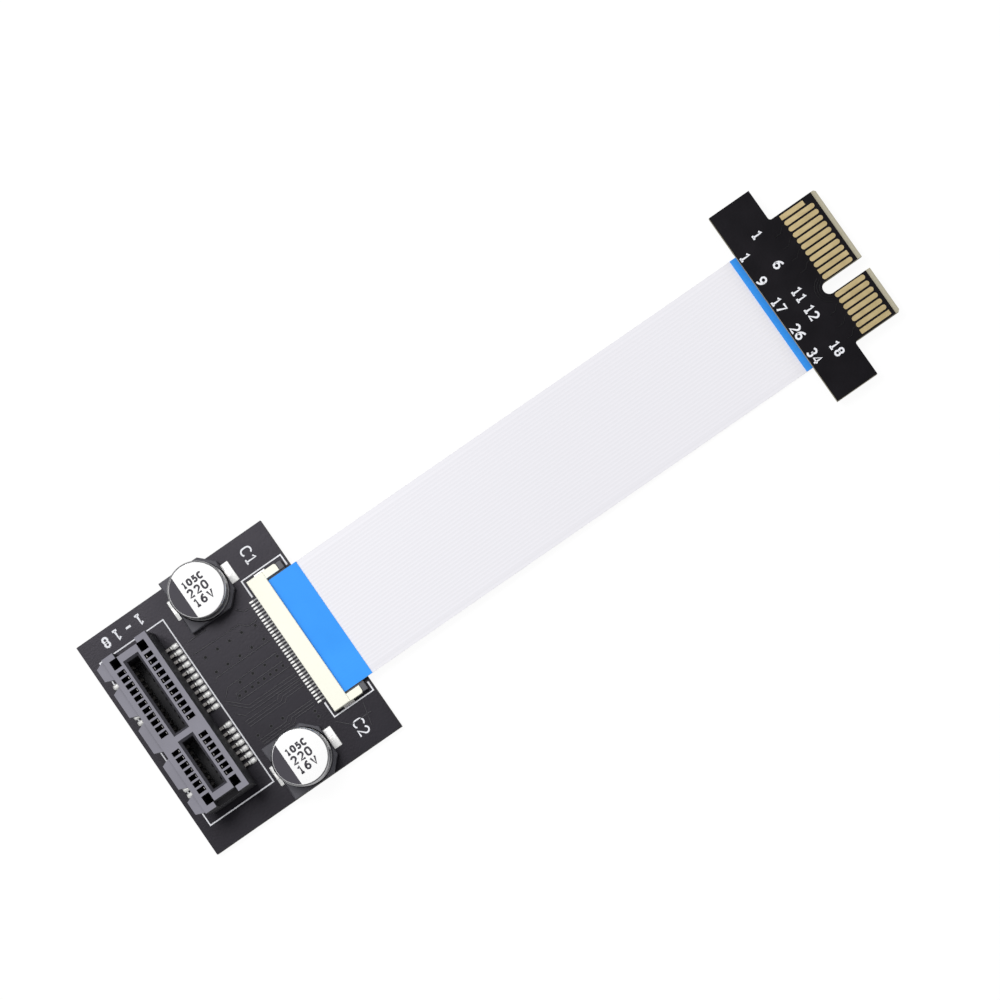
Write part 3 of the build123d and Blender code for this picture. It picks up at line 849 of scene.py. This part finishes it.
# Painted shade: the connectors' contacts are tin darkened to dark grey, as where they run in under the body.
# Only the solder on their tails stays bright.
shaded_tin = plated("tin_plate_painted_shade", grey(0.16), grey(0.24), 0.32, 0.35, bright=0.8)
body_round = 0.1 * mm
slider_round = 0.06 * mm
lead_solder_half = 0.15 * mm
lead_solder_reach = 0.6 * mm
lead_solder_height = 0.2 * mm
lead_solder_overhang = 0.06 * mm
lead_solder_rounds = (0.06 * mm, 0.1 * mm)
for end, direction in (("socket", 1), ("plug", -1)):
    low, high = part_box(f"{end}_connector_housing")
    body = whole_copy(f"{end}_connector_housing", f"{end}_connector_body")
    face_z = high.z if direction == 1 else low.z
    round_edges(body, body_round, lambda a, b: max(abs(a.z - face_z), abs(b.z - face_z)) < near, segments=3)
    give_finish(body, ivory)
    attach(body, "riser")
    slider = whole_copy(f"{end}_connector_slider", f"{end}_connector_lock")
    round_edges(slider, slider_round, lambda a, b: True)
    give_finish(slider, slider_plastic)
    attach(slider, f"{end}_slider")
    finish_node(f"{end}_connector_contacts", shaded_tin)
    finish_node(f"{end}_connector_anchors", tin)

    low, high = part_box(f"{end}_connector_contacts")
    tail_x = low.x if direction == 1 else high.x
    level = board_top if direction == 1 else high.z
    span = sorted((tail_x - direction * lead_solder_overhang, tail_x + direction * lead_solder_reach))
    heights = sorted((level, level + direction * lead_solder_height))
    mound = rounded_block(
        (span[0], -lead_solder_half, heights[0]),
        (span[1], lead_solder_half, heights[1]),
        lead_solder_rounds[0],
        lead_solder_rounds[1] if direction == 1 else 0,
        segments=2,
    )
    mounds = join_all(f"{end}_connector_solder", copies_at(mound, [Vector((0, y, 0)) for y in conductor_row]))
    give_finish(mounds, solder)
    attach(mounds, "riser")


# Ribbon cable
# Flat conductors laid side by side between two white films, so the films rise over each one and
# sink between them. A blue backing film stiffens both ends, and the bared side faces the contacts.
film, tree, shader, own = new_material("white_film", roughness=0.42, specular=0.4)
shifted = calculate(tree, "ADD", axis_of(tree, own, "Y"), conductor_pitch / 2)
lane = calculate(tree, "PINGPONG", shifted, conductor_pitch / 2)
over_conductor = spread(tree, lane, 0, 1, 0.02 * mm, 0.14 * mm)
haze = use_effect(tree, surface_grain, Vector=own, Fineness=1800, Depth=0.12)
stripe = blend_colours(tree, over_conductor, (0.79, 0.785, 0.83, 1), (0.825, 0.815, 0.86, 1))
hazed = blend_colours(tree, spread(tree, haze["Cloud"], 0, 0.5), stripe, (0.83, 0.82, 0.865, 1))
feed(tree, shader, "Base Color", hazed)
feed(tree, shader, "Normal", haze["Normal"])

blue_film, tree, shader, own = new_material("blue_film", roughness=0.45, specular=0.16)
lane = calculate(tree, "PINGPONG", axis_of(tree, own, "Y"), conductor_pitch / 2)
ribs = spread(tree, lane, 0, 1, 0, conductor_pitch / 2)
haze = use_effect(tree, surface_grain, Vector=own, Fineness=2500, Depth=0.2)
clouding = spread(tree, haze["Cloud"], 0, 1, 0.3, 0.7)
tone = blend_colours(tree, clouding, (0.025, 0.31, 0.95, 1), (0.035, 0.35, 1.0, 1))
ribbed = blend_colours(tree, spread(tree, ribs, 0, 0.25), tone, (0.035, 0.31, 0.92, 1))
feed(tree, shader, "Base Color", ribbed)
feed(tree, shader, "Normal", haze["Normal"])

cable_low, cable_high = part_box("ribbon_cable")
bared_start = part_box("ribbon_contacts_socket_end")
bared_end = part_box("ribbon_contacts_plug_end")
cable_thickness = 0.2 * mm
conductor_thickness = bared_start[1].z - bared_start[0].z
sunk_share = 0.86
step_length = 0.02 * mm
level_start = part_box("stiffener_socket_end")[1].x
level_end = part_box("stiffener_plug_end")[0].x
start_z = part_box("stiffener_socket_end")[0].z - cable_thickness / 2
end_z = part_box("stiffener_plug_end")[0].z - cable_thickness / 2
half_run = (level_end - level_start) / 2
half_drop = (start_z - end_z) / 2
bend_radius = (half_run**2 + half_drop**2) / (2 * half_drop)


def cable_level(x):
    """The height of the cable's middle: level at both ends, with two long equal bends between."""
    if x <= level_start:
        return start_z
    if x >= level_end:
        return end_z
    if x < level_start + half_run:
        return start_z - bend_radius + math.sqrt(bend_radius**2 - (x - level_start) ** 2)
    return end_z + bend_radius - math.sqrt(bend_radius**2 - (level_end - x) ** 2)


stations = [cable_low.x, bared_start[1].x, bared_start[1].x + step_length, level_start]
stations += [level_start + half_run * i / 24 for i in range(1, 48)]
stations += [level_end, bared_end[0].x - step_length, bared_end[0].x, cable_high.x]
rib_half = 0.15 * mm
edge_y = cable_high.y
edge_margin = 0.1 * mm
lanes = [-edge_y, -edge_y + edge_margin]
for y in conductor_row:
    lanes += [y - conductor_pitch / 2, y - rib_half, y + rib_half]
lanes += [conductor_row[-1] + conductor_pitch / 2, edge_y - edge_margin, edge_y]

bpy.ops.mesh.primitive_grid_add(x_subdivisions=len(stations) - 1, y_subdivisions=len(lanes) - 1, size=1)
cable = bpy.context.object
cable.name = "ribbon_cable_films"
ridges = cable.vertex_groups.new(name="thickness")
columns = sorted({round(vertex.co.x, 5) for vertex in cable.data.vertices})
rows = sorted({round(vertex.co.y, 5) for vertex in cable.data.vertices})
for vertex in cable.data.vertices:
    x = stations[columns.index(round(vertex.co.x, 5))]
    y = lanes[rows.index(round(vertex.co.y, 5))]
    bared = x <= bared_start[1].x or x >= bared_end[0].x
    share = 1.0 if any(abs(abs(y - lane) - rib_half) < near for lane in conductor_row) else sunk_share
    lift = 0.0
    if bared:
        share = 1 - conductor_thickness / cable_thickness
        lift = conductor_thickness / 2
    vertex.co = (x, y, cable_level(x) + lift)
    ridges.add([vertex.index], share, "REPLACE")
bpy.ops.object.modifier_add(type="SOLIDIFY")
wall = cable.modifiers[-1]
wall.thickness = cable_thickness
wall.offset = 0
wall.vertex_group = ridges.name
bpy.ops.object.modifier_apply(modifier=wall.name)
bpy.ops.object.shade_smooth_by_angle(angle=math.radians(50))
give_finish(cable, film)
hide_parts("ribbon_cable")
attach(cable, "riser")
for end in ("socket", "plug"):
    finish_node(f"stiffener_{end}_end", blue_film)
    finish_node(f"ribbon_contacts_{end}_end", tin)


# Plug board
# A T-shaped board in blacker mask, with a bevelled tip where the bare laminate shows. Gold
# contacts lie on both faces of its tab, and plain numbers are printed beside them.
plug_low, plug_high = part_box("plug_board")
plug_top = plug_high.z
plug_mask = board_finish(
    "plug_board_mask", (0.004, 0.0036, 0.0045, 1), (0.007, 0.0062, 0.0078, 1), sheen=0.12, edge_darkening=0.0
)
plug_copper = mask_over_copper(
    "plug_board_copper", (0.008, 0.0076, 0.009, 1), (0.013, 0.0125, 0.0145, 1), sheen=0.1
)
finish_node("plug_board", plug_mask)

gold = plated(
    "gold_plate",
    (0.50, 0.395, 0.205, 1),
    (0.59, 0.475, 0.26, 1),
    roughness=0.3,
    scratch=0.45,
    stretch=(0.12, 1, 1),
    fineness=6000,
)
finger_half = 0.35 * mm
finger_round = 0.34 * mm
square_round = 0.04 * mm
square_contacts = (1, 10, 18)
short_by = 1.0 * mm
for face_name in ("top", "bottom"):
    low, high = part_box("edge_contacts_" + face_name)
    first_y = high.y - finger_half
    contacts = []
    for number, step in enumerate(row_steps, start=1):
        front = high.x - short_by if number == 1 else high.x
        contact = rounded_block(
            (low.x, first_y - step - finger_half, low.z),
            (front, first_y - step + finger_half, high.z),
            square_round if number in square_contacts else finger_round,
            segments=6,
        )
        contacts.append(contact)
    contacts = join_all("gold_contacts_" + face_name, contacts)
    give_finish(contacts, gold)
    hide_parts("edge_contacts_" + face_name)
    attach(contacts, "riser")

# Tracks around the notch's round end, and doglegs back from every second contact
notch_depth = 6.05 * mm
track_overlap = 0.2 * mm
track_bend = 0.5 * mm
track_jog = 0.7 * mm
track_reach = 2.1 * mm
notch_y = first_y - (row_steps[contacts_before_key - 1] + row_steps[contacts_before_key]) / 2
notch_round = (plug_high.x - notch_depth, notch_y)
plug_tracks = [arc(notch_round, (1.35 + 0.35 * i) * mm, 110, 250) for i in range(3)]
for step in row_steps[1:9:2] + row_steps[12:17:2]:
    start = (low.x + track_overlap, first_y - step)
    bend = (low.x - track_bend, first_y - step)
    turn = (bend[0] - track_jog, bend[1] - track_jog)
    plug_tracks.append([start, bend, turn, (low.x - track_reach, turn[1])])
lay_strips("plug_board_tracks", plug_tracks, track_width, track_height, plug_top, plug_copper)

pin_height = 1.3 * mm
pin_step = 1.15 * mm
pin_stroke = 0.33 * mm
contact_label_place = 4.1 * mm
conductor_label_place = 1.0 * mm
routes = []
for count in (1, 6, 11, 12, 18):
    place = (plug_low.x + contact_label_place, first_y - row_steps[count - 1])
    routes += stroke_routes(str(count), pin_height, pin_step, place, along_y, towards_cable)
for count in (1, 9, 17, 26, 34):
    place = (plug_low.x + conductor_label_place, -conductor_row[count - 1])
    routes += stroke_routes(str(count), pin_height, pin_step, place, along_y, towards_cable)
lay_strips("label_pin_numbers", routes, pin_stroke, print_height, plug_top, white_print)
